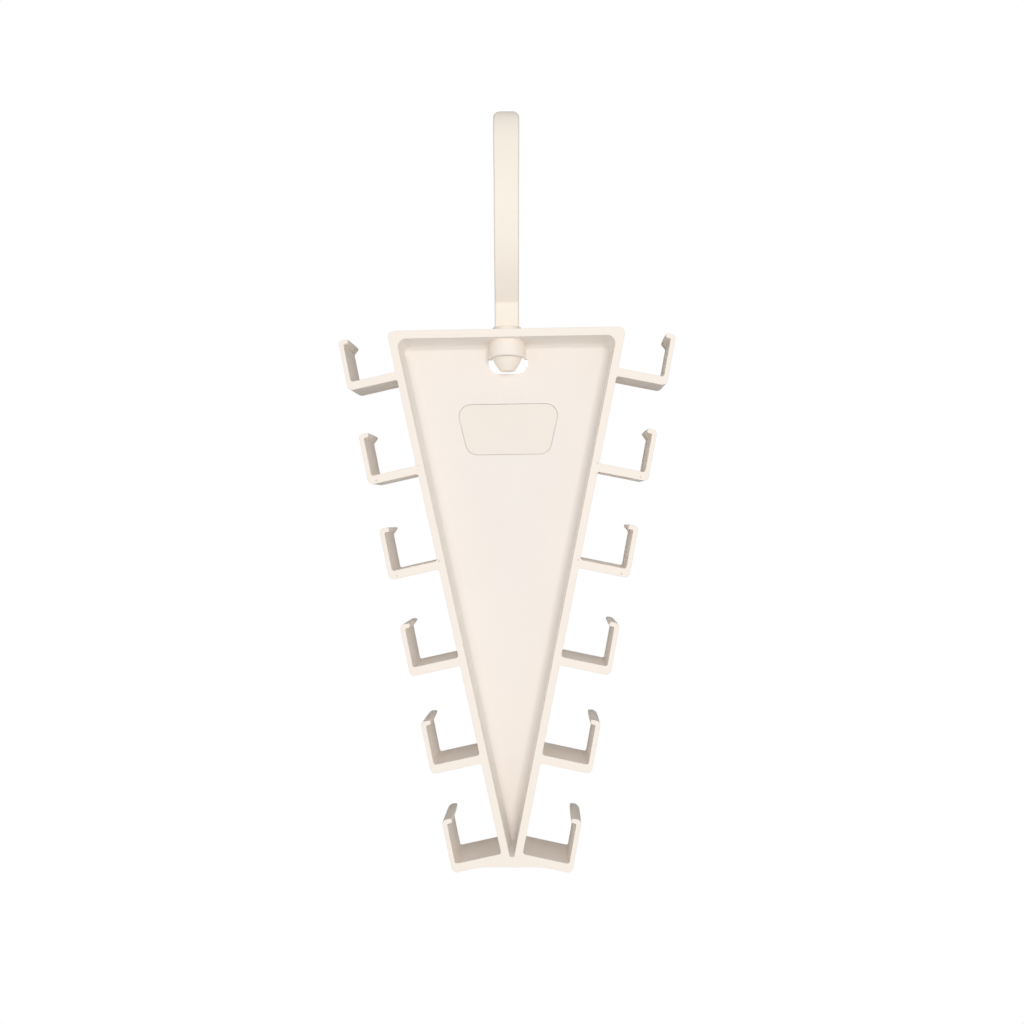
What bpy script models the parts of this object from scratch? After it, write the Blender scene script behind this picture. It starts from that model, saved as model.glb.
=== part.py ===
# Multi-hook hanger: a shallow triangular tray with a row of side hooks along each slanting edge,
# hung from a strap-like hook that swivels in a socket under the tray's top wall.
#
# Metres, +Z up, the open front of the tray towards -Y. The origin is the seat for the rod, on the
# inside of the swivel hook's crest, and the swivel axis is the Z axis.
import math

import bmesh
import bpy
from mathutils import Vector
from mathutils.geometry import interpolate_bezier

# Clearances shared by several pieces
SEAT_GAP = 0.0003            # hairline between two pieces that meet
RUNNING_GAP = 0.0003         # between the turning stem and its socket
CUT_OVERRUN = 0.001          # how far a cutter runs past the faces that it opens
MOULD_DRAFT = 0.00022        # each side face steps out by this much from front to back

# Tray: a trapezium that narrows almost to a point, with a raised rim round a thin panel
TRAY_TOP_WIDTH = 0.1006
TRAY_FOOT_WIDTH = 0.0065
TRAY_HEIGHT = 0.2208
TRAY_DEPTH = 0.0213
RIM_WIDTH = 0.00345
PANEL_THICKNESS = 0.0018
TRAY_CORNER_RADIUS = 0.0027
FOOT_STEP = 0.00185          # foot below the last arms, which it runs out under on both sides
FOOT_EDGE = 0.0004           # thickness of the foot at its ends
RECESS_CORNER_RADIUS = 0.0034
RECESS_TIP_WIDTH = 0.0012
RECESS_FILLET = 0.0030       # between the rim's inner walls and the panel
TIP_RADIUS_SHARE = 0.4       # of the recess's width at its tip
FLOOR_CORNER_SHARE = 0.3     # of the recess's corner radius, left at the panel

# Plaque: a blank field with large corners, sunk a hair into the panel
PLAQUE_TOP_DROP = 0.0294     # below the tray's top edge
PLAQUE_HEIGHT = 0.0225
PLAQUE_TOP_WIDTH = 0.0458
PLAQUE_FOOT_WIDTH = 0.0352
PLAQUE_CORNER_RADIUS = 0.0052
PLAQUE_SINK = 0.0003

# Side hooks, the same on both edges
HOOKS_PER_SIDE = 6
FIRST_HOOK_DROP = 0.01735    # top of the first arm below the tray's top edge
ARM_LENGTH = 0.0192          # tray edge to the upright's inner face
ARM_THICKNESS = 0.0035
UPRIGHT_THICKNESS = 0.0019
UPRIGHT_TOE_IN = math.radians(0.68)
HOOK_INNER_HEIGHT = 0.0163   # arm to the underside of the lip
LIP_THICKNESS = 0.0018
LIP_REACH = 0.0026           # inwards from the upright's inner face
HOOK_FILLET = 0.0010         # inside corners
LIP_RADIUS = 0.0006
HOOK_TOP_RADIUS = 0.0017
HOOK_FOOT_RADIUS = 0.0021

# Socket: a shelf under the top wall that carries the swivel, with a barrel-shaped hood below it.
# It is open at the back, so that the stem clips in from behind.
SHELF_DROP = 0.0070          # underside of the shelf below the tray's top edge
HOOD_DROP = 0.0111           # mouth of the hood
HOOD_NECK_RADIUS = 0.0071    # where it leaves the top wall
HOOD_RADIUS = 0.00805
HOOD_MOUTH_RADIUS = 0.00795
HOOD_WIDEST_DROP = 0.0082
HOOD_FRONT_SHARE = 1.12      # the hood reaches further to the front than to its sides
HOOD_WALL = 0.0013
CLIP_PINCH = 0.0003          # the entry slot is narrower than the stem by this on each side
HOLE_WIDTH = 0.0175          # hole in the panel behind the snap head
HOLE_FOOT_DROP = 0.0163
HOLE_CORNER_RADIUS = 0.0048

# Turned foot of the swivel hook: collar, stem and snap head
COLLAR_RADIUS = 0.00595
COLLAR_THICKNESS = 0.0015
COLLAR_EDGE = 0.0003
STEM_RADIUS = 0.0035
HEAD_RADIUS = 0.0064
HEAD_SHOULDER_RADIUS = 0.0061
HEAD_SKIRT = 0.0034          # straight part of the head below its shoulder
HEAD_TAPER = 0.0057          # bowl-shaped part below the skirt, down to a flat nose
HEAD_NOSE_RADIUS = 0.0030
HEAD_BULGE_RADIUS = 0.00535  # where the tangents at both ends of the bowl meet

# Strap of the swivel hook, seen from the side: a block, a crease, a neck that swings forwards and
# up in one arc, a tall front that leans back to the crest, and a shorter back with a rounded tip
HOOK_RISE = 0.0967           # top of the crest above the tray's top edge
HOOK_REST_TURN = math.radians(2.4)
HOOK_LEAN = math.radians(0.46)      # to the right, the play of the stem in its bore
STRAP_WIDTH = 0.01035
STRAP_THICKNESS = 0.0040
STRAP_EDGE = 0.0008
BLOCK_DEPTH = 0.0060
CREASE_HEIGHT = 0.0126
CREASE_RADIUS = 0.0010
NECK_LEAN = math.radians(44)
NECK_HANDLE = 0.0140         # handles of the neck's curve at the crease and at the front
FRONT_REACH = 0.0195         # how far the front stands before the axis
FRONT_HEIGHT = 0.0516        # above the tray's top edge, where the front stands furthest out
CREST_WIDTH = 0.01105
CREST_THICKNESS = 0.0046
CREST_CORNER_ACROSS = 0.00375
CREST_CORNER_DEEP = 0.0037
BACK_REACH = 0.0210
TIP_DROP = 0.0130            # below the level where the back is furthest out
TIP_FLARE = 0.0012
TIP_WIDTH = 0.0100
TIP_THICKNESS = 0.0034
FRONT_HANDLE_SHARE = 0.45    # of the climb from the front to the crest
SHOULDER_SHARE = 0.65        # of that climb, where the strap is at its widest
CREST_HANDLE_SHARE = 0.74    # of the way across from the front to the axis
CREST_BACK_SHARE = 0.46      # of the reach of the back
BACK_HANDLE_SHARE = 0.55
TIP_ROUND_SHARE = 0.42       # of the tip's thickness

# Fineness of the curves
CORNER_STEPS = 4
TURN_STEPS = 32
STRAP_STEPS = 12
FILLET_STEPS = 4

# Places worked out from the sizes above
SIDE_SLOPE = (TRAY_TOP_WIDTH - TRAY_FOOT_WIDTH) / 2 / TRAY_HEIGHT
SIDE_LEAN = math.atan(SIDE_SLOPE)
TRAY_TOP_Z = CREST_THICKNESS - HOOK_RISE
PANEL_FRONT = TRAY_DEPTH / 2 - PANEL_THICKNESS
LAST_HOOK_DROP = TRAY_HEIGHT - FOOT_STEP - ARM_THICKNESS
HOOK_PITCH = (LAST_HOOK_DROP - FIRST_HOOK_DROP) / (HOOKS_PER_SIDE - 1)
COLLAR_TOP = SEAT_GAP + COLLAR_THICKNESS
HEAD_TOP = -SHELF_DROP - RUNNING_GAP

CREAM = (0.91, 0.85, 0.76, 1.0)


def plastic(name, roughness):
    """A matt moulded plastic in the hanger's cream."""
    material = bpy.data.materials.new(name)
    material.use_nodes = True
    shader = material.node_tree.nodes["Principled BSDF"]
    shader.inputs["Base Color"].default_value = CREAM
    shader.inputs["Roughness"].default_value = roughness
    shader.inputs["Metallic"].default_value = 0.0
    return material


def add_object(name, mesh, parent=None):
    obj = bpy.data.objects.new(name, mesh)
    obj.parent = parent
    bpy.context.collection.objects.link(obj)
    return obj


def loft(name, rings):
    """A closed mesh through rings of points that match one to one, capped at both ends."""
    bm = bmesh.new()
    loops = [[bm.verts.new(point) for point in ring] for ring in rings]
    count = len(loops[0])
    for lower, upper in zip(loops, loops[1:]):
        for i in range(count):
            j = (i + 1) % count
            bm.faces.new((lower[i], lower[j], upper[j], upper[i]))
    bm.faces.new(loops[0])
    bm.faces.new(loops[-1])
    bmesh.ops.recalc_face_normals(bm, faces=bm.faces)
    mesh = bpy.data.meshes.new(name)
    bm.to_mesh(mesh)
    bm.free()
    mesh.shade_smooth()
    mesh.set_sharp_from_angle(angle=math.radians(30))
    return mesh


def turned(name, profile):
    """A closed mesh turned round the Z axis from (radius, height) points, flat at both ends."""
    rings = []
    for radius, height in profile:
        angles = [2 * math.pi * i / TURN_STEPS for i in range(TURN_STEPS)]
        rings.append([(radius * math.cos(a), radius * math.sin(a), height) for a in angles])
    return loft(name, rings)


def block(name, low, high):
    """A box between two corners."""
    ring = [(low[0], low[1]), (high[0], low[1]), (high[0], high[1]), (low[0], high[1])]
    return loft(name, [[(x, y, z) for x, y in ring] for z in (low[2], high[2])])


def rounded_outline(corners, radii):
    """The points of a polygon whose corners are rounded, each by its own radius."""
    corners = [Vector(corner) for corner in corners]
    points = []
    for i, corner in enumerate(corners):
        before = (corners[i - 1] - corner).normalized()
        after = (corners[(i + 1) % len(corners)] - corner).normalized()
        if radii[i] == 0:
            points.append(corner)
            continue
        half = before.angle(after) / 2
        centre = corner + (before + after).normalized() * (radii[i] / math.sin(half))
        start = corner + before * (radii[i] / math.tan(half)) - centre
        end = corner + after * (radii[i] / math.tan(half)) - centre
        turn = math.pi - 2 * half
        for step in range(CORNER_STEPS + 1):
            part = turn * step / CORNER_STEPS
            arm = (math.sin(turn - part) * start + math.sin(part) * end) / math.sin(turn)
            points.append(centre + arm)
    return points


def upright_ring(outline, y):
    """An outline of (x, z) points, stood up in the plane at a given depth."""
    return [(x, y, z) for x, z in outline]


def cut(target, mesh, operation="DIFFERENCE"):
    """A Boolean with a helper object that only guides the shape."""
    tool = add_object(mesh.name, mesh, target.parent)
    tool.hide_render = True
    tool.display_type = "WIRE"
    modifier = target.modifiers.new(mesh.name, "BOOLEAN")
    modifier.operation = operation
    modifier.solver = "EXACT"
    modifier.object = tool
    return tool


def side_x(z, grow):
    """Half the width between the tray's side faces at a height, moved outwards square to them."""
    return TRAY_TOP_WIDTH / 2 + z * SIDE_SLOPE + grow / math.cos(SIDE_LEAN)


def tray_outline(grow):
    """The tray's outer edge, whose foot runs out in a thin wedge under each of the last arms."""
    top, foot = grow, -TRAY_HEIGHT - grow
    below = ARM_THICKNESS + SEAT_GAP + grow + grow * SIDE_SLOPE
    root_x = side_x(-LAST_HOOK_DROP, grow) - below * math.sin(SIDE_LEAN)
    root_z = -LAST_HOOK_DROP - below * math.cos(SIDE_LEAN)
    end_x = root_x + (root_z - foot - FOOT_EDGE) / SIDE_SLOPE
    half = [(end_x, foot), (end_x, foot + FOOT_EDGE), (root_x, root_z), (side_x(top, grow), top)]
    mirrored = [(-x, z) for x, z in reversed(half)]
    radii = [0, 0, 0, TRAY_CORNER_RADIUS, TRAY_CORNER_RADIUS, 0, 0, 0]
    return rounded_outline(half + mirrored, radii)


def recess_outline(inset, corner_radius):
    """The inner edge of the rim, moved in towards the panel by an inset."""
    wall = RIM_WIDTH + inset
    tip_x = RECESS_TIP_WIDTH / 2
    tip_z = (tip_x - side_x(0, -wall)) / SIDE_SLOPE
    corners = [(side_x(-wall, -wall), -wall), (-side_x(-wall, -wall), -wall),
               (-tip_x, tip_z), (tip_x, tip_z)]
    tip_radius = RECESS_TIP_WIDTH * TIP_RADIUS_SHARE
    return rounded_outline(corners, [corner_radius, corner_radius, tip_radius, tip_radius])


def recess():
    """The hollow of the tray: walls with draft, a fillet, and the panel's face as its floor."""
    front = -TRAY_DEPTH / 2
    fillet_start = PANEL_FRONT - RECESS_FILLET
    wall_inset = MOULD_DRAFT * (fillet_start - front) / TRAY_DEPTH
    levels = [(front - CUT_OVERRUN, 0), (front, 0), (fillet_start, wall_inset)]
    for step in range(1, FILLET_STEPS + 1):
        angle = math.pi / 2 * step / FILLET_STEPS
        levels.append((fillet_start + RECESS_FILLET * math.sin(angle),
                       wall_inset + RECESS_FILLET * (1 - math.cos(angle))))
    deepest = wall_inset + RECESS_FILLET
    rings = []
    for y, inset in levels:
        share = 1 - (1 - FLOOR_CORNER_SHARE) * inset / deepest
        rings.append(upright_ring(recess_outline(inset, RECESS_CORNER_RADIUS * share), y))
    return loft("recess_cutter", rings)


def hood_radius(drop):
    """The hood's outer radius at a drop below the tray's top edge."""
    if drop < HOOD_WIDEST_DROP:
        part = (HOOD_WIDEST_DROP - drop) / (HOOD_WIDEST_DROP - RIM_WIDTH)
        return HOOD_RADIUS - (HOOD_RADIUS - HOOD_NECK_RADIUS) * part ** 2
    part = (drop - HOOD_WIDEST_DROP) / (HOOD_DROP - HOOD_WIDEST_DROP)
    return HOOD_RADIUS - (HOOD_RADIUS - HOOD_MOUTH_RADIUS) * part ** 2


def hood():
    """Shelf and hood as one body: round at the front, with straight sides back to the panel."""
    drops = [RIM_WIDTH / 2, RIM_WIDTH]
    for start, end in ((RIM_WIDTH, HOOD_WIDEST_DROP), (HOOD_WIDEST_DROP, HOOD_DROP)):
        drops += [start + (end - start) * step / FILLET_STEPS for step in range(1, FILLET_STEPS + 1)]
    rings = []
    for drop in drops:
        radius = hood_radius(max(drop, RIM_WIDTH))
        ring = [(radius, PANEL_FRONT + PANEL_THICKNESS / 2, -drop)]
        for i in range(TURN_STEPS // 2 + 1):
            angle = -math.pi * i / (TURN_STEPS // 2)
            forward = radius * HOOD_FRONT_SHARE * math.sin(angle)
            ring.append((radius * math.cos(angle), forward, -drop))
        ring.append((-radius, PANEL_FRONT + PANEL_THICKNESS / 2, -drop))
        rings.append(ring)
    return loft("hood", rings)


def panel_hole():
    """The hole in the panel behind the snap head: round corners below, square at the shelf."""
    side = HOLE_WIDTH / 2
    corners = [(side, -SHELF_DROP), (-side, -SHELF_DROP), (-side, -HOLE_FOOT_DROP), (side, -HOLE_FOOT_DROP)]
    outline = rounded_outline(corners, [0, 0, HOLE_CORNER_RADIUS, HOLE_CORNER_RADIUS])
    depths = (PANEL_FRONT - CUT_OVERRUN, TRAY_DEPTH / 2 + CUT_OVERRUN)
    return loft("panel_hole_cutter", [upright_ring(outline, y) for y in depths])


def plaque():
    """The blank plaque's field, wider at its top than at its foot."""
    top, foot = -PLAQUE_TOP_DROP, -PLAQUE_TOP_DROP - PLAQUE_HEIGHT
    corners = [(PLAQUE_TOP_WIDTH / 2, top), (-PLAQUE_TOP_WIDTH / 2, top),
               (-PLAQUE_FOOT_WIDTH / 2, foot), (PLAQUE_FOOT_WIDTH / 2, foot)]
    outline = rounded_outline(corners, [PLAQUE_CORNER_RADIUS] * len(corners))
    depths = (PANEL_FRONT - CUT_OVERRUN, PANEL_FRONT + PLAQUE_SINK)
    return loft("plaque_cutter", [upright_ring(outline, y) for y in depths])


def make_tray(parent):
    half_depth = TRAY_DEPTH / 2
    rings = [upright_ring(tray_outline(0), -half_depth),
             upright_ring(tray_outline(MOULD_DRAFT), half_depth)]
    tray = add_object("tray", loft("tray", rings), parent)
    tray.data.materials.append(plastic("tray_plastic", 0.42))
    cut(tray, recess())
    cut(tray, plaque())
    cut(tray, hood(), "UNION")
    bore = STEM_RADIUS + RUNNING_GAP
    hollow = HOOD_RADIUS - HOOD_WALL
    mouth = -HOOD_DROP - CUT_OVERRUN
    cut(tray, turned("hood_cutter", [(hollow, mouth), (hollow, -SHELF_DROP)]))
    cut(tray, turned("bore_cutter", [(bore, -HOOD_DROP), (bore, CUT_OVERRUN)]))
    slot = STEM_RADIUS - CLIP_PINCH
    cut(tray, block("entry_slot_cutter", (-slot, 0, -HOOD_DROP),
                    (slot, half_depth + CUT_OVERRUN, CUT_OVERRUN)))
    side = HOOD_RADIUS + CUT_OVERRUN
    cut(tray, block("hood_back_cutter", (-side, 0, mouth), (side, PANEL_FRONT, -SHELF_DROP)))
    cut(tray, panel_hole())
    return tray


def side_hook_outline(grow):
    """A side hook in its own plane: along its arm, and up along the tray's edge."""
    toe = HOOK_INNER_HEIGHT * math.tan(UPRIGHT_TOE_IN)
    root = SEAT_GAP + grow
    arm_top, arm_foot = grow, -ARM_THICKNESS - grow
    lip_foot = HOOK_INNER_HEIGHT - grow
    lip_top = HOOK_INNER_HEIGHT + LIP_THICKNESS + grow
    inner = ARM_LENGTH - grow
    outer = ARM_LENGTH + UPRIGHT_THICKNESS + grow
    lip_tip = ARM_LENGTH - LIP_REACH - grow
    corners = [(root, arm_top), (inner, arm_top), (inner - toe, lip_foot), (lip_tip, lip_foot),
               (lip_tip, lip_top), (outer - toe, lip_top), (outer, arm_foot), (root, arm_foot)]
    radii = [0, HOOK_FILLET, HOOK_FILLET, LIP_RADIUS,
             LIP_RADIUS, HOOK_TOP_RADIUS, HOOK_FOOT_RADIUS, 0]
    return rounded_outline(corners, radii)


def make_side_hooks(parent):
    """Both rows of hooks. All of one side share a mesh, and the other side is its mirror image."""
    hooks = []
    for side, label in ((-1, "left"), (1, "right")):
        rings = []
        for y, grow in ((-TRAY_DEPTH / 2, 0), (TRAY_DEPTH / 2, MOULD_DRAFT)):
            rings.append([(side * u, y, v) for u, v in side_hook_outline(grow)])
        mesh = loft("side_hook_" + label, rings)
        mesh.materials.append(plastic("side_hook_%s_plastic" % label, 0.42))
        for number in range(HOOKS_PER_SIDE):
            drop = FIRST_HOOK_DROP + HOOK_PITCH * number
            hook = add_object("side_hook_%s_%d" % (label, number + 1), mesh, parent)
            hook.location = (side * side_x(-drop, 0), 0, -drop)
            hook.rotation_euler = (0, side * SIDE_LEAN, 0)
            hooks.append(hook)
    return hooks


def strap_path():
    """Points (y, z) on the strap's outer face, each with its section: width, thickness and the
    outer corners' radius across and through the strap."""
    up = Vector((0, 1))
    forward = Vector((-math.sin(NECK_LEAN), math.cos(NECK_LEAN)))
    foot = Vector((-BLOCK_DEPTH / 2, SEAT_GAP + COLLAR_THICKNESS / 2))
    crease = Vector((-BLOCK_DEPTH / 2, CREASE_HEIGHT))
    front = Vector((-FRONT_REACH, FRONT_HEIGHT))
    crest = Vector((0, HOOK_RISE))
    back = Vector((BACK_REACH, HOOK_RISE - BACK_REACH))
    tip = back + Vector((TIP_FLARE, -TIP_DROP))
    bend_in, bend_out = crease - up * CREASE_RADIUS, crease + forward * CREASE_RADIUS
    climb = crest - front

    block_section = Vector((STRAP_WIDTH, BLOCK_DEPTH, STRAP_EDGE, STRAP_EDGE))
    plain_section = Vector((STRAP_WIDTH, STRAP_THICKNESS, STRAP_EDGE, STRAP_EDGE))
    shoulder_section = Vector((CREST_WIDTH, STRAP_THICKNESS, STRAP_EDGE, STRAP_EDGE))
    crest_section = Vector((CREST_WIDTH, CREST_THICKNESS, CREST_CORNER_ACROSS, CREST_CORNER_DEEP))
    tip_section = Vector((TIP_WIDTH, TIP_THICKNESS, STRAP_EDGE, STRAP_EDGE))

    # each leg is a curve and the sections it passes, each at its share of the leg
    legs = [
        (foot, foot, bend_in, bend_in, 1, [(1, block_section)]),
        (bend_in, crease, crease, bend_out, FILLET_STEPS, [(1, block_section)]),
        (bend_out, bend_out + forward * NECK_HANDLE, front - up * NECK_HANDLE, front,
         2 * STRAP_STEPS, [(1, plain_section)]),
        (front, front + up * climb.y * FRONT_HANDLE_SHARE,
         crest - Vector((climb.x * CREST_HANDLE_SHARE, 0)), crest,
         2 * STRAP_STEPS, [(SHOULDER_SHARE, shoulder_section), (1, crest_section)]),
        (crest, crest + Vector((BACK_REACH * CREST_BACK_SHARE, 0)),
         back + up * BACK_REACH * BACK_HANDLE_SHARE, back, STRAP_STEPS, [(1, plain_section)]),
        (back, back - up * TIP_DROP / 3, tip + up * TIP_DROP / 3, tip,
         FILLET_STEPS, [(1, tip_section)]),
    ]
    path = [(foot, block_section)]
    for start, leave, arrive, end, steps, stops in legs:
        points = interpolate_bezier(start, leave, arrive, end, steps + 1)
        since, section = 0, path[-1][1]
        for step in range(1, steps + 1):
            if step / steps > stops[0][0]:
                since, section = stops.pop(0)
            until, target = stops[0]
            part = (step / steps - since) / (until - since)
            path.append((points[step].to_2d(), section.lerp(target, part * part * (3 - 2 * part))))
    return path


def strap_ring(point, inward, section):
    """A rounded rectangle square to the strap, hung inwards from a point on its outer face."""
    width, thickness, across, deep = section
    ring = []
    for quarter in range(4):
        outer = quarter < 2
        wide = across if outer else STRAP_EDGE
        thick = deep if outer else STRAP_EDGE
        side = 1 if quarter in (0, 3) else -1
        level = thick if outer else thickness - thick
        for step in range(CORNER_STEPS + 1):
            angle = math.pi / 2 * (quarter + step / CORNER_STEPS)
            x = side * (width / 2 - wide) + wide * math.cos(angle)
            place = point + inward * (level - thick * math.sin(angle))
            ring.append((x, place.x, place.y))
    return ring


def strap():
    """The strap as a loft of sections along its path, closed by a rounded tip."""
    path = strap_path()
    points = [point for point, section in path]
    rings = []
    for i, (point, section) in enumerate(path):
        heading = (points[min(i + 1, len(points) - 1)] - points[max(i - 1, 0)]).normalized()
        rings.append(strap_ring(point, Vector((heading.y, -heading.x)), section))
    point, section = path[-1]
    inward = Vector((heading.y, -heading.x))
    radius = section[1] * TIP_ROUND_SHARE
    for step in range(1, FILLET_STEPS + 1):
        angle = math.pi / 2 * step / FILLET_STEPS
        inset = radius * (1 - math.cos(angle))
        kept = 1 - 2 * inset / section[1]
        end = Vector((section[0] - 2 * inset, section[1] - 2 * inset,
                      section[2] * kept, section[3] * kept))
        ring_at = point + heading * radius * math.sin(angle) + inward * inset
        rings.append(strap_ring(ring_at, inward, end))
    return loft("swivel_hook", rings)


def make_swivel_hook(parent):
    hook = add_object("swivel_hook", strap(), parent)
    hook.rotation_euler = (0, HOOK_LEAN, HOOK_REST_TURN)
    hook.data.materials.append(plastic("swivel_hook_plastic", 0.42))
    skirt_foot = HEAD_TOP - HEAD_SKIRT
    nose = Vector((HEAD_NOSE_RADIUS, skirt_foot - HEAD_TAPER))
    bulge = Vector((HEAD_BULGE_RADIUS, skirt_foot - HEAD_TAPER / 2))
    skirt = Vector((HEAD_RADIUS, skirt_foot))
    bowl = interpolate_bezier(nose, nose.lerp(bulge, 2 / 3), skirt.lerp(bulge, 2 / 3), skirt,
                              2 * FILLET_STEPS + 1)
    profile = [tuple(point.to_2d()) for point in bowl]
    profile += [(HEAD_SHOULDER_RADIUS, HEAD_TOP), (STEM_RADIUS, HEAD_TOP), (STEM_RADIUS, SEAT_GAP),
               (COLLAR_RADIUS - COLLAR_EDGE, SEAT_GAP), (COLLAR_RADIUS, SEAT_GAP + COLLAR_EDGE),
               (COLLAR_RADIUS, COLLAR_TOP - COLLAR_EDGE), (COLLAR_RADIUS - COLLAR_EDGE, COLLAR_TOP)]
    cut(hook, turned("swivel_foot", profile), "UNION")
    return hook


def main():
    for obj in list(bpy.data.objects):
        bpy.data.objects.remove(obj)
    axis = add_object("swivel_axis", None)
    axis.location = (0, 0, TRAY_TOP_Z)
    make_tray(axis)
    make_side_hooks(axis)
    make_swivel_hook(axis)
    bpy.context.view_layer.update()


main()
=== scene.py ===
# Multi-hook hanger: a triangular tray with a row of side hooks down each slanting edge, hung from a
# strap-like hook that turns in a socket under the tray's top wall.
# Shapes are worked out in millimetres from the tray's top edge on the swivel axis, front towards -Y,
# and loft() turns them to metres in the frame's own place.
import math

import bmesh
import bpy
from mathutils import Matrix, Vector
from mathutils.geometry import interpolate_bezier


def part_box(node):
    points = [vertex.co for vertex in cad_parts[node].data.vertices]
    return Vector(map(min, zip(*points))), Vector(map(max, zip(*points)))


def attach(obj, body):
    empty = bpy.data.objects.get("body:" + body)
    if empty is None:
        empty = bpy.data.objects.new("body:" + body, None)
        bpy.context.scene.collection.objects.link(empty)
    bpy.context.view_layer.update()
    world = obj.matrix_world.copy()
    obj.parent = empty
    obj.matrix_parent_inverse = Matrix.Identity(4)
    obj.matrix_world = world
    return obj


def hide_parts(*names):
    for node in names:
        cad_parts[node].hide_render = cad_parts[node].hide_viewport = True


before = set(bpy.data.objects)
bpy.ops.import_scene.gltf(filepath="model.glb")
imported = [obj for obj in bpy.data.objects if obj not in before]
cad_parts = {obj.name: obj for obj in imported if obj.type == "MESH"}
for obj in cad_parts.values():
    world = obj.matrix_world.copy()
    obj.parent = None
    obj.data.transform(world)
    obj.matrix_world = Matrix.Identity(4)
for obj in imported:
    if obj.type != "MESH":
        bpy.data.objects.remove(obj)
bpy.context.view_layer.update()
print("frame loaded,", len(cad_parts), "CAD nodes")

mm = 0.001
beyond = 1.0           # mm that a cutting tool reaches past the surface it opens
hair = 0.01            # mm, keeps apart what would otherwise fall together
leastRadius = 0.05     # mm, of any rounded corner
sharpAngle = 38        # degrees; edges that turn more stay sharp
trayLow, trayHigh = (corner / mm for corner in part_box("tray"))     # the tray's corners, in mm


# Meshes

def loft(name, rings):      # rings of points that match one to one, in mm, closed at both ends
    bm = bmesh.new()
    loops = []
    for ring in rings:
        loops.append([bm.verts.new((x * mm, y * mm, (z + trayTop) * mm)) for x, y, z in ring])
    count = len(loops[0])
    for lower, upper in zip(loops, loops[1:]):
        for i in range(count):
            j = (i + 1) % count
            bm.faces.new((lower[i], lower[j], upper[j], upper[i]))
    bm.faces.new(loops[0])
    bm.faces.new(loops[-1])
    bmesh.ops.recalc_face_normals(bm, faces=bm.faces)
    mesh = bpy.data.meshes.new(name)
    bm.to_mesh(mesh)
    bm.free()
    return mesh


def addObject(name, data):
    obj = bpy.data.objects.new(name, data)
    bpy.context.scene.collection.objects.link(obj)
    return obj


def carve(target, mesh, operation="DIFFERENCE"):      # a Boolean, applied at once, its tool thrown away
    tool = addObject(mesh.name, mesh)
    modifier = target.modifiers.new(mesh.name, "BOOLEAN")
    modifier.operation = operation
    modifier.solver = "EXACT"
    modifier.object = tool
    bpy.context.view_layer.update()
    depsgraph = bpy.context.evaluated_depsgraph_get()
    shaped = bpy.data.meshes.new_from_object(target.evaluated_get(depsgraph))
    target.modifiers.clear()
    target.data = shaped
    bpy.data.objects.remove(tool)
    bpy.data.meshes.remove(mesh)


def smooth(obj):      # rounded edges shade softly and the flats stay flat
    obj.data.shade_smooth()
    obj.data.set_sharp_from_angle(angle=math.radians(sharpAngle))
    weighted = obj.modifiers.new("flats stay flat", "WEIGHTED_NORMAL")
    weighted.keep_sharp = True


def quarter(steps):      # angles from 0 to 90 degrees
    return [math.pi / 2 * step / steps for step in range(steps + 1)]


def roundedOutline(corners, radii, grow=0.0, steps=6):
    # an anticlockwise outline moved outwards by grow, its corners rounded; hollow ones tighten as it grows
    count = len(corners)
    moved = []
    for i, corner in enumerate(corners):
        before = (corner - corners[i - 1]).normalized()
        after = (corners[(i + 1) % count] - corner).normalized()
        outBefore, outAfter = Vector((before.y, -before.x)), Vector((after.y, -after.x))
        moved.append(corner + (outBefore + outAfter) * (grow / (1 + outBefore.dot(outAfter))))
    points = []
    for i, corner in enumerate(moved):
        before = (moved[i - 1] - corner).normalized()
        after = (moved[(i + 1) % count] - corner).normalized()
        hollow = before.cross(after) > 0
        radius = max(radii[i] - grow if hollow else radii[i] + grow, leastRadius)
        half = before.angle(after) / 2
        centre = corner + (before + after).normalized() * (radius / math.sin(half))
        start = corner + before * (radius / math.tan(half)) - centre
        end = corner + after * (radius / math.tan(half)) - centre
        turn = math.pi - 2 * half
        for step in range(steps + 1):
            part = turn * step / steps
            reach = math.sin(turn - part) * start + math.sin(part) * end
            points.append(centre + reach / math.sin(turn))
    return points


def upright(outline, y):      # an outline of (x, z) stood up at a depth
    return [(x, y, z) for x, z in outline]


# Body moulding: tray and both rows of hooks in one piece

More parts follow.
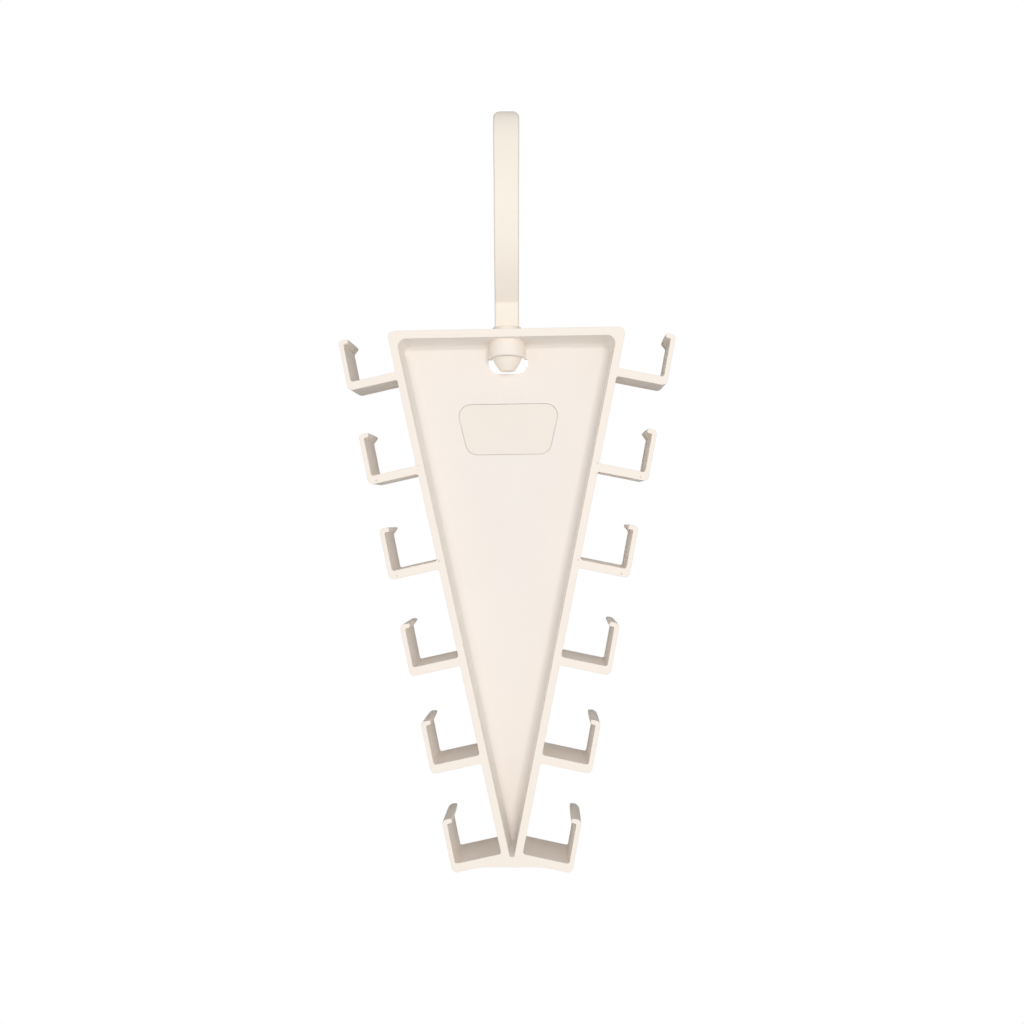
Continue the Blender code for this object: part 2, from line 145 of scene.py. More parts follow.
body = {
    "draft": 0.22,               # each side face steps out by this from front to back
    "topWidth": 100.6,
    "footWidth": 6.5,
    "height": 220.8,
    "waist": 0.15,               # how far the flanks draw in halfway down, as a long thin moulding does
    "rimWidth": 3.45,            # along the top edge
    "sideRim": 3.2,              # along the flanks
    "panel": 1.8,                # thickness
    "cornerRadius": 2.7,
    "footBlend": 30.0,           # between the foot and the undersides of the last arms
    "frontEdge": 0.2,            # rounding of the front edges
    "backEdge": 0.25,
    "recessCorner": 3.4,
    "recessTip": 1.7,            # width of the recess at its foot
    "tipRadiusShare": 0.8,       # its corners' radius as a share of half that width
    "recessFillet": 3.0,         # depth of the curve between walls and panel
    "filletShare": 1.3,          # its width along the flanks and along the top, as shares of that
    "topFilletShare": 0.7,
    "cornerLossShare": 0.7,      # share of the recess's corner radius that is lost down the curve
    "hooksPerSide": 6,
    "firstHook": 17.35,          # top of the first arm below the top edge
    "footStep": 1.85,            # the last arms' undersides leave the tray this far above its foot
    "armLength": 19.2,           # from the tray to the upright
    "armThickness": 3.5,
    "armTaper": 0.3,             # what its underside rises by towards the back
    "uprightThickness": 1.9,
    "thinning": 0.7,             # the first right-hand upright is thinner by this at the back
    "toeIn": 0.68,               # degrees that the uprights lean towards the tray
    "hookHeight": 16.3,          # from the arm up to the lip
    "lipThickness": 1.8,
    "lipReach": 2.3,
    "lipBulge": 0.3,             # how far the lip's end bows out halfway through the depth
    "lipTopFall": 0.6,           # at the back the lip is a wedge: its end's top is lower by this,
    "lipFootRise": 0.7,          # its end's foot is higher by this,
    "lipRootFall": 1.1,          # its root is lower by this,
    "lipRadiusLoss": 0.31,       # its edges are sharper by this
    "hookTopRise": 0.35,         # and the hook's outer corner is higher by this
    "hookTopGrowth": 1.0,        # and rounder by this
    "lipUnderslope": 3.0,        # degrees, the lip thickens towards the upright
    "rootFillet": 1.0,
    "hookFillet": 1.0,
    "lipFillet": 0.4,
    "lipRadius": 0.55,
    "hookTopRadius": 1.7,
    "hookFootRadius": 2.1,
}
trayTop = trayHigh.z - body["draft"]
frontY, backY = trayLow.y, trayHigh.y
panelY = backY - body["panel"]
sideSlope = (body["topWidth"] - body["footWidth"]) / 2 / body["height"]
sideLean = math.atan(sideSlope)
lastHook = body["height"] - body["footStep"] - body["armThickness"]
hookDrops = [body["firstHook"] + (lastHook - body["firstHook"]) * i / (body["hooksPerSide"] - 1)
             for i in range(body["hooksPerSide"])]


def sideX(z, grow=0.0):      # half the tray's width at a height
    waist = body["waist"] * math.sin(math.pi * z / body["height"]) ** 2
    return body["topWidth"] / 2 + z * sideSlope - waist + grow / math.cos(sideLean)


def hookPoint(drop, along, up):      # a point of a right-hand hook, along its arm and up the tray's edge
    return Vector((sideX(-drop) + along * math.cos(sideLean) + up * math.sin(sideLean),
                   -drop - along * math.sin(sideLean) + up * math.cos(sideLean)))


def flank(y, thinning=0.0):      # corners and radii of the right side at a depth, from the foot up
    b = body
    part = (2 * y - frontY - backY) / (backY - frontY)
    back = (part + 1) / 2
    lipReach = b["lipReach"] + b["lipBulge"] * math.sqrt(max(1 - part ** 2, 0))
    outer = b["armLength"] + b["uprightThickness"]
    toe = b["hookHeight"] * math.tan(math.radians(b["toeIn"]))
    lipTop = b["hookHeight"] + b["lipThickness"]
    lipSlope = lipReach * math.tan(math.radians(b["lipUnderslope"]))
    lipRoot = b["hookHeight"] - lipSlope - b["lipRootFall"] * back
    lipRadius = b["lipRadius"] - b["lipRadiusLoss"] * back
    topRadius = b["hookTopRadius"] + b["hookTopGrowth"] * back
    foot = -b["armThickness"]
    armFoot = foot + b["armTaper"] * back
    corners, radii = [], []
    for drop in reversed(hookDrops):
        if drop == lastHook:      # the last arm runs into the flat foot
            along = (b["height"] - drop + foot * math.cos(sideLean)) / math.sin(sideLean)
            corners.append(hookPoint(drop, along, foot))
            radii.append(b["footBlend"])
        else:
            corners.append(hookPoint(drop, 0, armFoot))
            radii.append(b["rootFillet"])
        under = foot if drop == lastHook else armFoot
        inner = b["armLength"] + (thinning * back if drop == hookDrops[0] else 0)
        lipTip = inner - lipReach
        for along, up, radius in ((outer, under, b["hookFootRadius"]),
                                  (outer - toe, lipTop + b["hookTopRise"] * back, topRadius),
                                  (lipTip, lipTop - b["lipTopFall"] * back, lipRadius),
                                  (lipTip, b["hookHeight"] + b["lipFootRise"] * back, lipRadius),
                                  (inner - toe, lipRoot, b["lipFillet"]), (inner, 0, b["hookFillet"]),
                                  (0, 0, b["rootFillet"])):
            corners.append(hookPoint(drop, along, up))
            radii.append(radius)
    corners.append(Vector((sideX(0), 0)))
    radii.append(b["cornerRadius"])
    return corners, radii


def bodyCorners(y):      # the whole outline, anticlockwise from the foot
    right, radii = flank(y, body["thinning"])
    left = [Vector((-corner.x, corner.y)) for corner in reversed(flank(y)[0])]
    return right + left, radii + radii[::-1]


def bodyLevels():      # depths and how far the outline has grown there, from the back to the front
    levels = []
    for angle in reversed(quarter(3)):
        levels.append((backY - body["backEdge"] * (1 - math.sin(angle)),
                       body["draft"] - body["backEdge"] * (1 - math.cos(angle))))
    start, end, steps = levels[-1][0], frontY + body["frontEdge"], 12
    for step in range(1, steps):
        y = start + (end - start) * (1 - math.cos(math.pi * step / steps)) / 2
        levels.append((y, body["draft"] * (y - frontY) / (backY - frontY)))
    for angle in quarter(5):
        levels.append((frontY + body["frontEdge"] * (1 - math.sin(angle)),
                       -body["frontEdge"] * (1 - math.cos(angle))))
    return levels


def recessOutline(inset, curve, cornerRadius):      # curve is how far the fillet has come off the wall
    top = body["rimWidth"] + inset + curve * body["topFilletShare"]
    side = body["sideRim"] + inset + curve * body["filletShare"]
    tip = body["recessTip"] / 2
    tipZ = (tip - sideX(0, -side)) / sideSlope
    corners = [Vector((tip, tipZ)), Vector((sideX(-top, -side), -top)),
               Vector((-sideX(-top, -side), -top)), Vector((-tip, tipZ))]
    tipRadius = tip * body["tipRadiusShare"]
    return roundedOutline(corners, [tipRadius, cornerRadius, cornerRadius, tipRadius], steps=10)


def recessCutter():      # rounded rim edge, walls with draft, fillet, panel face
    edge, fillet = body["frontEdge"], body["recessFillet"]
    wallInset = body["draft"] * (panelY - fillet - frontY) / (backY - frontY)
    levels = [(frontY - beyond, -edge, 0)]
    levels += [(frontY + edge * (1 - math.cos(a)), -edge * (1 - math.sin(a)), 0) for a in quarter(5)]
    levels += [(panelY - fillet * (1 - math.sin(a)), wallInset, fillet * (1 - math.cos(a)))
               for a in quarter(12)]
    rings = []
    for y, inset, curve in levels:
        radius = body["recessCorner"] * (1 - body["cornerLossShare"] * curve / fillet)
        rings.append(upright(recessOutline(inset, curve, radius), y))
    return loft("recess", rings)


plaque = {
    "topDrop": 29.4,
    "height": 22.5,
    "topWidth": 46.3,
    "footWidth": 35.7,
    "aside": -0.25,
    "corner": 5.4,
    "groove": 0.36,
    "grooveTaper": 0.04,      # each side of the groove leans in by this
    "grooveDepth": 0.95,
    "sink": 0.08,             # the field lies this much lower than the panel
}


def plaqueOutline(grow):      # grow moves it outwards
    top, foot = -plaque["topDrop"], -plaque["topDrop"] - plaque["height"]
    wide, narrow, aside = plaque["topWidth"] / 2, plaque["footWidth"] / 2, plaque["aside"]
    corners = [Vector(place) for place in ((aside + wide, top), (aside - wide, top),
                                           (aside - narrow, foot), (aside + narrow, foot))]
    return roundedOutline(corners, [plaque["corner"]] * 4, grow, steps=10)


def plaqueCutter():      # a narrow groove round a sunken field
    depth, taper, groove = plaque["grooveDepth"], plaque["grooveTaper"], plaque["groove"]
    levels = ((-beyond, 0), (depth, -taper), (depth, taper - groove), (plaque["sink"], -groove))
    return loft("plaque", [upright(plaqueOutline(grow), panelY + depth) for depth, grow in levels])


socket = {
    "shelf": 7.0,             # underside of the shelf below the top edge
    "drop": 11.1,             # mouth of the hood
    "mouthLift": 0.3,         # the mouth's front is this much higher than its sides
    "neckRadius": 7.1,
    "radius": 8.05,
    "mouthRadius": 7.95,
    "mouthRounding": 0.25,    # of the mouth's inner edge
    "roundingMiddle": 0.07,   # how far in that curve is at its middle
    "frontShare": 1.12,       # the hood reaches further forward than to the sides
    "widest": 8.2,
    "wall": 1.3,
    "fillet": 0.25,           # towards the top wall and the panel
    "filletEnd": 0.5,         # the one towards the panel ends this far above the shelf's foot
    "intoPanel": 0.9,         # how deep the hood is rooted in the panel
    "edge": 0.35,
    "bore": 3.8,
    "slot": 3.2,              # half the width of the entry slot
    "holeHead": 7.0,          # half the width of the panel's hole down to its shoulders
    "holeShoulder": 9.9,
    "holeHalfWidth": 8.75,
    "holeFoot": 16.3,
    "holeCorner": 4.8,
    "shoulderCorner": 0.4,
    "headCorner": 0.3,
}


def hoodRadius(drop):      # a barrel, fullest at its widest level
    if drop < socket["widest"]:
        part = (socket["widest"] - drop) / (socket["widest"] - body["rimWidth"])
        return socket["radius"] - (socket["radius"] - socket["neckRadius"]) * part ** 2
    part = (drop - socket["widest"]) / (socket["drop"] - socket["widest"])
    return socket["radius"] - (socket["radius"] - socket["mouthRadius"]) * part ** 2


def hood():      # shelf and barrel in one: round at the front, straight sides back to the panel
    start, fillet, edge = body["rimWidth"], socket["fillet"], socket["edge"]
    levels = [(start / 2, hoodRadius(start) + fillet)]      # rooted in the top wall
    levels += [(start + fillet * (1 - math.cos(a)), hoodRadius(start) + fillet * (1 - math.sin(a)))
               for a in quarter(5)]
    span, steps = socket["drop"] - edge - start - fillet, 16
    drops = [start + fillet + span * step / steps for step in range(1, steps)]
    levels += [(drop, hoodRadius(drop)) for drop in drops]
    levels += [(socket["drop"] - edge * (1 - math.sin(a)), socket["mouthRadius"] - edge * (1 - math.cos(a)))
               for a in quarter(4)]
    rings = []
    for drop, radius in levels:
        flare = fillet if drop < socket["shelf"] - socket["filletEnd"] else hair
        front = radius * socket["frontShare"]
        half = [(radius + flare, panelY + socket["intoPanel"])]
        half += [(radius + flare * (1 - math.sin(a)), panelY - flare * (1 - math.cos(a)))
                 for a in quarter(4)]
        half += [(radius * math.cos(a), -front * math.sin(a)) for a in quarter(24)]
        ring = half + [(-x, y) for x, y in reversed(half[:-1])]
        lift = socket["mouthLift"] * max(drop - start, 0) / (socket["drop"] - start)
        rings.append([(x, y, lift * (min(y, 0) / radius) ** 2 - drop) for x, y in ring])
    return loft("hood", rings)


def turned(name, profile, steps=96):      # (radius, height) points turned round the swivel axis
    angles = [2 * math.pi * i / steps for i in range(steps)]
    return loft(name, [[(r * math.cos(a), r * math.sin(a), z) for a in angles] for r, z in profile])


def block(name, low, high):      # a box-shaped tool between two corners
    ring = [(low[0], low[1]), (high[0], low[1]), (high[0], high[1]), (low[0], high[1])]
    return loft(name, [[(x, y, z) for x, y in ring] for z in (low[2], high[2])])


def hoodHollow():      # open at the mouth, whose inner edge is rounded
    hollow, mouth = socket["radius"] - socket["wall"], -socket["drop"]
    wide, middle = socket["mouthRounding"], socket["roundingMiddle"]
    return turned("hood hollow", [
        (hollow + wide, mouth - beyond), (hollow + wide, mouth), (hollow + middle, mouth + middle),
        (hollow, mouth + wide), (hollow, -socket["shelf"])])


def panelHole():      # lets the snap head in from behind
    narrow, wide = socket["holeHead"], socket["holeHalfWidth"]
    top, shoulder, foot = -socket["shelf"], -socket["holeShoulder"], -socket["holeFoot"]
    low, outer, inner = socket["holeCorner"], socket["shoulderCorner"], socket["headCorner"]
    right = [Vector(place) for place in ((wide, foot), (wide, shoulder), (narrow, shoulder), (narrow, top))]
    left = [Vector((-corner.x, corner.y)) for corner in reversed(right)]
    corners, radii = left[-1:] + right + left[:-1], [low, low, outer, inner, inner, inner, inner, outer]
    outline = roundedOutline(corners, radii, steps=12)
    return loft("panel hole", [upright(outline, y) for y in (panelY - beyond, backY + beyond)])


dots = {
    "radius": 0.38,
    "footRadius": 0.32,
    "depth": 0.9,
    "sides": 16,
    "hooks": (1, 2),                              # the second and the third hook from the top
    "places": ((17.6, -2.3), (-0.8, -0.17)),      # along the arm and up, from the hook's root
}


def dot(place, side):      # a narrow dimple left by a pin of the tool
    turns = [2 * math.pi * i / dots["sides"] for i in range(dots["sides"])]
    levels = ((frontY - beyond, dots["radius"]), (frontY, dots["radius"]),
              (frontY + dots["depth"], dots["footRadius"]))
    return loft("dot", [[(side * place.x + radius * math.cos(turn), y, place.y + radius * math.sin(turn))
                         for turn in turns] for y, radius in levels])


moulding = addObject("body_moulding", loft("body_moulding", [
    upright(roundedOutline(*bodyCorners(y), grow), y) for y, grow in bodyLevels()]))
carve(moulding, recessCutter())
carve(moulding, plaqueCutter())
carve(moulding, hood(), "UNION")
mouth, hoodSide = -socket["drop"], socket["radius"] + beyond
carve(moulding, hoodHollow())
carve(moulding, turned("bore", [(socket["bore"], mouth), (socket["bore"], beyond)]))
carve(moulding, block("entry slot", (-socket["slot"], 0, mouth), (socket["slot"], backY + beyond, beyond)))
carve(moulding, block("hood back", (-hoodSide, 0, mouth - beyond), (hoodSide, panelY, -socket["shelf"])))
carve(moulding, panelHole())
for hookNumber in dots["hooks"]:
    for along, up in dots["places"]:
        for side in (-1, 1):
            carve(moulding, dot(hookPoint(hookDrops[hookNumber], along, up), side))
smooth(moulding)
print("body moulding:", len(moulding.data.polygons), "faces")


# Swivel hook: a strap lofted along its bends, on a turned foot that snaps into the socket

strap = {
    "restTurn": 2.4,             # degrees about the swivel axis
    "lean": 0.46,                # degrees to the right, the play of the stem in its bore
    "rise": 96.4,
    "width": 10.35,
    "thickness": 4.0,
    "edge": 0.8,
    "blockDepth": 6.0,
    "creaseHeight": 12.6,
    "creaseRadius": 1.0,
    "neckLean": 44.0,            # degrees
    "neckHandle": 14.0,          # mm, pull of the curve at the neck and at the front
    "frontReach": 19.5,
    "frontHeight": 51.6,
    "climbShare": 0.45,          # pulls of the curve as shares of the way: up from the front,
    "crestShare": 0.74,          # into the crest,
    "leaveShare": 0.46,          # out of the crest
    "fallShare": 0.55,           # and down into the back
    "shoulderShare": 0.65,       # of the climb; there the strap has its crest's width
    "crestWidth": 11.05,
    "crestThickness": 4.6,
    "crestCornerAcross": 3.75,
    "crestCornerDeep": 3.7,
    "backReach": 21.0,
    "tipDrop": 13.0,
    "tipFlare": 1.2,
    "tipWidth": 10.0,
    "tipThickness": 3.4,
    "tipRadiusShare": 0.42,      # of the thickness
    "collarFoot": 0.3,
    "collarRadius": 6.0,
    "collarThickness": 2.1,
    "collarEdge": 0.3,
    "stemRadius": 3.5,
    "headTop": -7.3,
    "headEdge": 0.3,
    "headRadius": 6.4,
    "headShoulder": 6.1,
    "headSkirt": 3.4,
    "headTaper": 5.7,
    "headNose": 3.0,
    "headBulge": 5.35,
}


def strapPath():      # points (y, z) of the outer face, each with width, thickness and outer corners
    s = strap
    lean = math.radians(s["neckLean"])
    up, forward = Vector((0, 1)), Vector((-math.sin(lean), math.cos(lean)))
    foot = Vector((-s["blockDepth"] / 2, s["collarFoot"] + s["collarThickness"] / 2))
    crease = Vector((-s["blockDepth"] / 2, s["creaseHeight"]))
    front = Vector((-s["frontReach"], s["frontHeight"]))
    crest = Vector((0, s["rise"]))
    back = Vector((s["backReach"], s["rise"] - s["backReach"]))
    tip = back + Vector((s["tipFlare"], -s["tipDrop"]))
    bendIn, bendOut = crease - up * s["creaseRadius"], crease + forward * s["creaseRadius"]
    climb = crest - front
    edge = s["edge"]
    blockSection = Vector((s["width"], s["blockDepth"], edge, edge))
    frontSection = Vector((s["width"], s["thickness"], edge, edge))
    shoulderSection = Vector((s["crestWidth"], s["thickness"], edge, edge))
    crestSection = Vector((s["crestWidth"], s["crestThickness"],
                           s["crestCornerAcross"], s["crestCornerDeep"]))
    tipSection = Vector((s["tipWidth"], s["tipThickness"], edge, edge))
    # each leg: where it starts, its two pulls, where it ends, steps, and the section at parts of the way
    legs = [
        (foot, foot, bendIn, bendIn, 1, [(1, blockSection)]),
        (bendIn, crease, crease, bendOut, 8, [(1, blockSection)]),
        (bendOut, bendOut + forward * s["neckHandle"], front - up * s["neckHandle"], front, 48,
         [(1, frontSection)]),
        (front, front + up * climb.y * s["climbShare"], crest - Vector((climb.x * s["crestShare"], 0)),
         crest, 72, [(s["shoulderShare"], shoulderSection), (1, crestSection)]),
        (crest, crest + Vector((s["backReach"] * s["leaveShare"], 0)),
         back + up * s["backReach"] * s["fallShare"], back, 36, [(1, frontSection)]),
        (back, back - up * s["tipDrop"] / 3, tip + up * s["tipDrop"] / 3, tip, 12, [(1, tipSection)]),
    ]
    path = [(foot, blockSection)]
    for start, leave, arrive, end, steps, stops in legs:
        points = interpolate_bezier(start, leave, arrive, end, steps + 1)
        since, section = 0, path[-1][1]
        for step in range(1, steps + 1):
            if step / steps > stops[0][0]:
                since, section = stops.pop(0)
            until, aim = stops[0]
            part = (step / steps - since) / (until - since)
            path.append((points[step].to_2d(), section.lerp(aim, part * part * (3 - 2 * part))))
    return path


def strapRing(point, inward, section, steps=8):      # a rounded rectangle square to the strap
    width, thickness, across, deep = section
    turn = Matrix.Rotation(math.radians(strap["restTurn"]), 2)
    aside = point.y * math.tan(math.radians(strap["lean"]))
    ring = []
    for corner in range(4):
        outer = corner < 2      # the first two corners are the outer face's
        wide, thick = (across, deep) if outer else (strap["edge"], strap["edge"])
        side = 1 if corner in (0, 3) else -1
        level = thick if outer else thickness - thick
        for step in range(steps + 1):
            angle = math.pi / 2 * (corner + step / steps)
            x = aside + side * (width / 2 - wide) + wide * math.cos(angle)
            place = point + inward * (level - thick * math.sin(angle))
            x, y = turn @ Vector((x, place.x))
            ring.append((x, y, place.y))
    return ring


def strapMesh():
    path = strapPath()
    points = [point for point, section in path]
    rings = []
    for i, (point, section) in enumerate(path):
        heading = (points[min(i + 1, len(points) - 1)] - points[max(i - 1, 0)]).normalized()
        rings.append(strapRing(point, Vector((heading.y, -heading.x)), section))
    point, section = path[-1]
    inward = Vector((heading.y, -heading.x))
    radius = section[1] * strap["tipRadiusShare"]
    for angle in quarter(8)[1:]:
        inset = radius * (1 - math.cos(angle))
        kept = 1 - 2 * inset / section[1]
        end = Vector((section[0] - 2 * inset, section[1] - 2 * inset, section[2] * kept, section[3] * kept))
        rings.append(strapRing(point + heading * radius * math.sin(angle) + inward * inset, inward, end))
    return loft("hook_moulding", rings)


def footProfile():      # (radius, height) from the nose of the snap head up to the collar
    s = strap
    skirtFoot = s["headTop"] - s["headSkirt"]
    nose, skirt = Vector((s["headNose"], skirtFoot - s["headTaper"])), Vector((s["headRadius"], skirtFoot))
    bulge = Vector((s["headBulge"], skirtFoot - s["headTaper"] / 2))
    # a curve with one pull point, written with two as the function wants
    curve = interpolate_bezier(nose, nose.lerp(bulge, 2 / 3), skirt.lerp(bulge, 2 / 3), skirt, 17)
    profile = [tuple(point.to_2d()) for point in curve]
    edge = s["headEdge"]
    profile += [(s["headShoulder"] - edge * (1 - math.cos(a)), s["headTop"] - edge * (1 - math.sin(a)))
                for a in quarter(4)]
    profile += [(s["stemRadius"], s["headTop"]), (s["stemRadius"], s["collarFoot"])]
    low, high, edge = s["collarFoot"], s["collarFoot"] + s["collarThickness"], s["collarEdge"]
    rim = s["collarRadius"]
    profile += [(rim - edge * (1 - math.sin(a)), low + edge * (1 - math.cos(a))) for a in quarter(4)]
    profile += [(rim - edge * (1 - math.cos(a)), high - edge * (1 - math.sin(a))) for a in quarter(4)]
    return profile


hook = addObject("hook_moulding", strapMesh())
carve(hook, turned("swivel foot", footProfile()), "UNION")
smooth(hook)
print("hook moulding:", len(hook.data.polygons), "faces")


# Materials

def linear(hexColour):      # sRGB hex to linear RGBA
    channels = [int(hexColour[i:i + 2], 16) / 255 for i in (1, 3, 5)]
    return tuple(c / 12.92 if c <= 0.04045 else ((c + 0.055) / 1.055) ** 2.4 for c in channels) + (1.0,)


def addNode(tree, kind, inputs=(), **settings):      # inputs are values, or sockets to link from
    node = tree.nodes.new(kind)
    for name, value in settings.items():
        setattr(node, name, value)
    for name, value in dict(inputs).items():
        if isinstance(value, bpy.types.NodeSocket):
            tree.links.new(value, node.inputs[name])
        else:
            node.inputs[name].default_value = value
    return node


# Polypropylene, injection moulded in a lightly spark-eroded tool: an even matt skin with a fine grain,
# faint cloudy flow marks and slow waves where thick and thin walls cooled unevenly
finish = {
    "body": {"light": "#FCF2E8", "dark": "#F9EFE4", "roughness": (0.84, 0.92)},
    # recess: painted light, the walls and top fillet in the recess made lighter where they lie in shade
    "recess": {"light": "#FDF8F2", "dark": "#FAF4ED", "roughness": (0.80, 0.88)},
    # panel: painted shade, the panel made a shade darker than the walls round it
    "panel": {"light": "#F4EDE7", "dark": "#F1EAE3", "roughness": (0.86, 0.94)},
    # field: a shade darker still; where it lines the plaque's groove it is painted shade
    "field": {"light": "#F2EAE2", "dark": "#EFE7DE", "roughness": (0.84, 0.92)},
    "hook": {"light": "#FCF3E7", "dark": "#F9EFE2", "roughness": (0.80, 0.88)},
    "cloudSize": 26.0,        # mm across a flow mark
    "waveSize": 9.0,          # mm between waves
    "waveHeight": 0.010,      # mm
    "grainSize": 0.5,         # mm; the real grain of about 0.15 mm would be too fine to show
    "grainHeight": 0.004,     # mm
}


def mouldedPolypropylene(name, look):
    material = bpy.data.materials.new(name)
    material.use_nodes = True
    tree = material.node_tree
    shader = tree.nodes["Principled BSDF"]
    shader.inputs["IOR"].default_value = 1.49
    place = addNode(tree, "ShaderNodeTexCoord").outputs["Object"]
    cloud = addNode(tree, "ShaderNodeTexNoise", {
        "Vector": place, "Scale": 1 / (finish["cloudSize"] * mm), "Detail": 3.0, "Roughness": 0.5})
    wave = addNode(tree, "ShaderNodeTexNoise", {
        "Vector": place, "Scale": 1 / (finish["waveSize"] * mm), "Detail": 1.0})
    grain = addNode(tree, "ShaderNodeTexNoise", {
        "Vector": place, "Scale": 1 / (finish["grainSize"] * mm), "Detail": 2.0, "Roughness": 0.6})
    colour = addNode(tree, "ShaderNodeMix", {"Factor": cloud.outputs["Fac"]}, data_type="RGBA")
    colour.inputs[6].default_value = linear(look["dark"])
    colour.inputs[7].default_value = linear(look["light"])
    low, high = look["roughness"]
    rough = addNode(tree, "ShaderNodeMapRange", {
        "Value": grain.outputs["Fac"], "From Min": 0.3, "From Max": 0.7, "To Min": low, "To Max": high})
    waves = addNode(tree, "ShaderNodeBump", {
        "Height": wave.outputs["Fac"], "Distance": finish["waveHeight"] * mm})
    grains = addNode(tree, "ShaderNodeBump", {
        "Height": grain.outputs["Fac"], "Normal": waves.outputs["Normal"],
        "Distance": finish["grainHeight"] * mm})
    tree.links.new(colour.outputs[2], shader.inputs["Base Color"])
    tree.links.new(rough.outputs["Result"], shader.inputs["Roughness"])
    tree.links.new(grains.outputs["Normal"], shader.inputs["Normal"])
    return material


# One plastic in several tones, its roughness a little different in each: the walls and the top fillet in the
# recess are painted a shade lighter, as painted light where they lie in shade; the panel is painted a shade
# darker, as painted shade; the plaque's field is darker still, and its groove takes that tone as painted
# shade
tonePlaces = {                 # mm
    "aboveFoot": 2.0,          # all of the recess lies higher than this above the foot
    "intoRim": 0.25,           # and at most this far into the rim
    "topWall": 1.0,            # faces this near the top rim that look down are its wall's
    "topFillet": 5.0,          # the wall's fillet has ended this far below the rim
    "hoodAround": 10.0,        # the hood keeps the body's tone, this far round the swivel axis
    "hoodBelow": 0.5,          # and this far below its mouth
    "offBack": 1.0,            # as does all that lies this near the back
    "facingDown": -0.9,        # the part of a normal that counts as looking down
    "facingOut": -0.7,         # and as looking out of the tray
}


# which tone a face takes: in the recess the walls and top fillet get painted light, the panel painted shade,
# and the plaque's field and groove the darkest tone, painted shade in the groove
def toneOf(face):
    at = tonePlaces
    x, y, z = face.center / mm
    z -= trayTop
    belowRim = -body["rimWidth"] - z
    inTray = (belowRim > 0 and z > at["aboveFoot"] - body["height"]
              and abs(x) < sideX(z, at["intoRim"] - body["sideRim"])
              and frontY + body["frontEdge"] < y < backY - at["offBack"])
    onTopWall = belowRim < at["topWall"] and face.normal.z < at["facingDown"]
    byHood = math.hypot(x, y) < at["hoodAround"] and z > -socket["drop"] - at["hoodBelow"]
    if not inTray or (byHood and not onTopWall):
        return "body"
    onTopFillet = belowRim < at["topFillet"] and face.normal.y > at["facingOut"]
    if y < panelY - body["recessFillet"] or onTopFillet:
        return "recess"
    return "panel" if y < panelY + hair else "field"


moulding.data.materials.clear()
tones = ["body", "recess", "panel", "field"]
for name in tones:
    moulding.data.materials.append(mouldedPolypropylene("moulded_polypropylene_" + name, finish[name]))
hook.data.materials.clear()
hook.data.materials.append(mouldedPolypropylene("moulded_polypropylene_hook", finish["hook"]))
# each face of the moulding takes its tone, painted light and painted shade in the recess included
for face in moulding.data.polygons:
    face.material_index = tones.index(toneOf(face))
print("materials done")


# Pieces ride on the frame's bodies

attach(moulding, "hanger")
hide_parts("tray", *[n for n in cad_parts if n.startswith("side_hook_")])
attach(hook, "hook")
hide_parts("swivel_hook")


# Studio: white surroundings, brightest in front and behind, a soft lamp and a pale floor far below

studio = {
    "sideLevel": 0.02,                   # radiance from the sides, above and below
    "frontLevel": 0.70,                  # added straight in front, and straight behind
    "backLevel": 6.0,
    "frontLobe": 0.5,                    # how fast these fall off sideways
    "backLobe": 16.0,
    "keyLevel": 0.41,                    # what the lamp adds on a white face turned to it
    "keyPlace": (0.19, -1.6, -0.08),
    "keySize": 0.4,
    "aim": (0.0, 0.0, -0.16),
    "floorHeight": -0.78,
    "floorRadius": 0.45,
    "floorColour": "#F2F1EE",
    "floorGlow": 0.5,                    # only where the floor is seen, to keep it pale without more light
}


def seenDirectly(tree):      # 1 for what the camera, a reflection or clear plastic shows, 0 for the light
    ray = addNode(tree, "ShaderNodeLightPath")
    seen = ray.outputs["Is Camera Ray"]
    for name in ("Is Glossy Ray", "Is Transmission Ray"):
        either = addNode(tree, "ShaderNodeMath", {0: seen, 1: ray.outputs[name]}, operation="MAXIMUM")
        seen = either.outputs[0]
    return seen


def makeWorld():      # lights the hanger mostly from in front and behind, yet looks plain white itself
    world = bpy.data.worlds.new("studio")
    world.use_nodes = True
    bpy.context.scene.world = world
    tree = world.node_tree
    tree.nodes.clear()
    direction = addNode(tree, "ShaderNodeTexCoord").outputs["Generated"]
    towards = addNode(tree, "ShaderNodeSeparateXYZ", {0: direction})
    level = studio["sideLevel"]
    for side, lobe, peak in ((-1, "frontLobe", "frontLevel"), (1, "backLobe", "backLevel")):
        depth = addNode(tree, "ShaderNodeMath", {0: towards.outputs["Y"], 1: side}, operation="MULTIPLY")
        ahead = addNode(tree, "ShaderNodeMath", {0: depth.outputs[0], 1: 0.0}, operation="MAXIMUM")
        fall = addNode(tree, "ShaderNodeMath", {0: ahead.outputs[0], 1: studio[lobe]}, operation="POWER")
        level = addNode(tree, "ShaderNodeMath", {0: fall.outputs[0], 1: studio[peak], 2: level},
                        operation="MULTIPLY_ADD").outputs[0]
    around = addNode(tree, "ShaderNodeBackground", {"Color": (1, 1, 1, 1), "Strength": level})
    white = addNode(tree, "ShaderNodeBackground", {"Color": (1, 1, 1, 1), "Strength": 1.0})
    both = addNode(tree, "ShaderNodeMixShader", {
        0: seenDirectly(tree), 1: around.outputs[0], 2: white.outputs[0]})
    addNode(tree, "ShaderNodeOutputWorld", {"Surface": both.outputs[0]})


def makeLamp(name, place, size, level):      # level is what it adds on a white face turned to it
    data = bpy.data.lights.new(name, "AREA")
    data.size = size
    place, aim = Vector(place), Vector(studio["aim"])
    data.energy = level * (math.pi * (place - aim).length) ** 2
    lamp = addObject(name, data)
    lamp.location = place
    lamp.rotation_euler = (place - aim).to_track_quat("Z", "Y").to_euler()


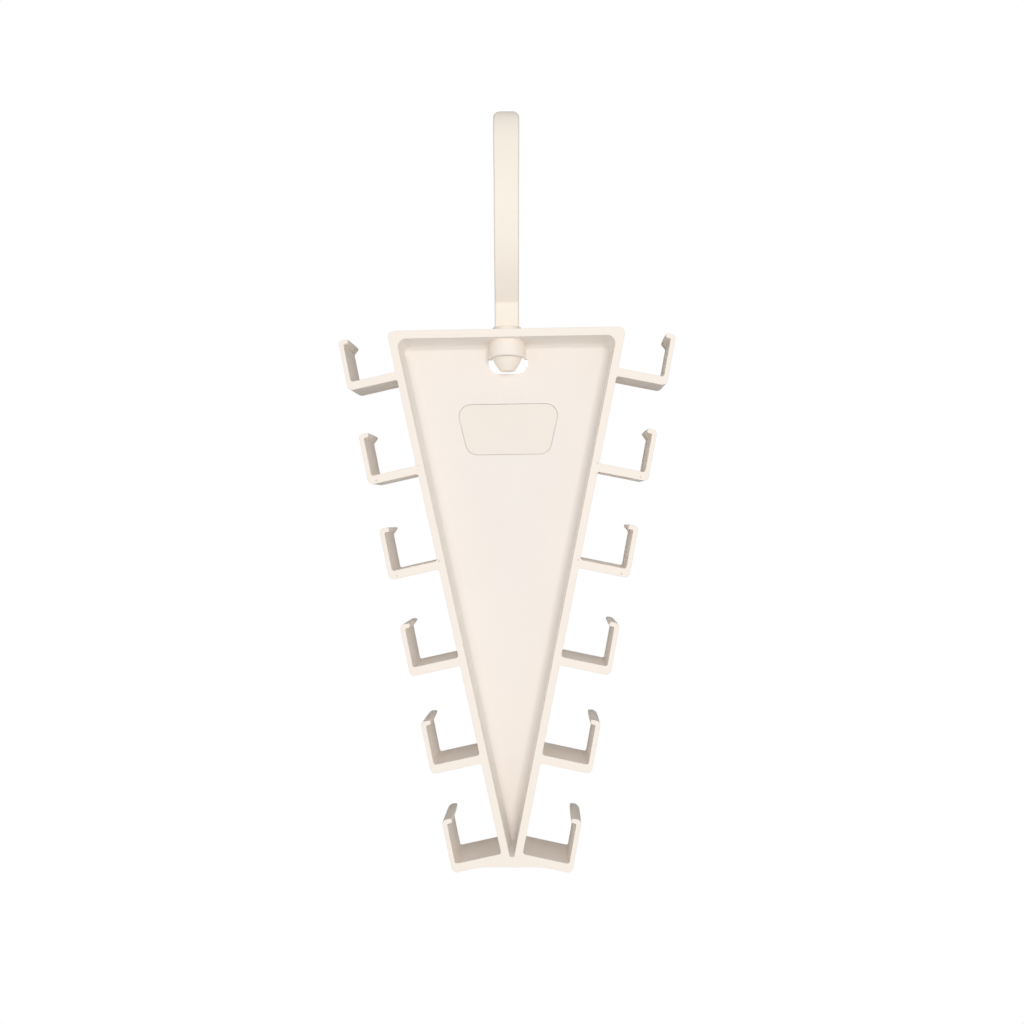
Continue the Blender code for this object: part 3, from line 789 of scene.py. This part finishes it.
def makeFloor():
    bm = bmesh.new()
    bmesh.ops.create_circle(bm, cap_ends=True, segments=128, radius=studio["floorRadius"])
    mesh = bpy.data.meshes.new("floor")
    bm.to_mesh(mesh)
    bm.free()
    floor = addObject("floor", mesh)
    floor.location = (0, 0, studio["floorHeight"])
    paint = bpy.data.materials.new("matt_floor_paint")      # matt paint: no gloss, takes a soft shadow
    paint.use_nodes = True
    tree = paint.node_tree
    shader = tree.nodes["Principled BSDF"]
    shader.inputs["Base Color"].default_value = linear(studio["floorColour"])
    shader.inputs["Emission Color"].default_value = linear(studio["floorColour"])
    shader.inputs["Roughness"].default_value = 0.9
    glow = addNode(tree, "ShaderNodeMath", {0: seenDirectly(tree), 1: studio["floorGlow"]},
                   operation="MULTIPLY")
    tree.links.new(glow.outputs[0], shader.inputs["Emission Strength"])
    mesh.materials.append(paint)


camera = {
    "place": (16.94, -399.46, -75.6),      # mm, from the middle of the tray's top edge
    "yaw": 0.0364,                         # radians
    "pitch": 0.0526,
    "roll": -0.0120,
    "lens": 32.98,                         # mm
    "sensorWidth": 36.0,                   # mm
    "shiftX": -0.002,
    "shiftY": -0.0508,
    "clip": (0.01, 20.0),                  # m
}


def makeCamera():
    data = bpy.data.cameras.new("camera")
    data.lens, data.sensor_width = camera["lens"], camera["sensorWidth"]
    data.shift_x, data.shift_y = camera["shiftX"], camera["shiftY"]
    data.clip_start, data.clip_end = camera["clip"]
    obj = addObject("camera", data)
    turn = (Matrix.Rotation(camera["yaw"], 3, "Z") @ Matrix.Rotation(camera["pitch"], 3, "X")
            @ Matrix.Rotation(-camera["roll"], 3, "Y") @ Matrix.Rotation(math.radians(90), 3, "X"))
    place = Vector(camera["place"]) + Vector((0, 0, trayTop))
    obj.matrix_world = Matrix.Translation(place * mm) @ turn.to_4x4()
    bpy.context.scene.camera = obj


makeWorld()
makeLamp("key_softbox", studio["keyPlace"], studio["keySize"], studio["keyLevel"])
makeFloor()
makeCamera()
bpy.context.scene.view_settings.view_transform = "Standard"
print("studio and camera done")
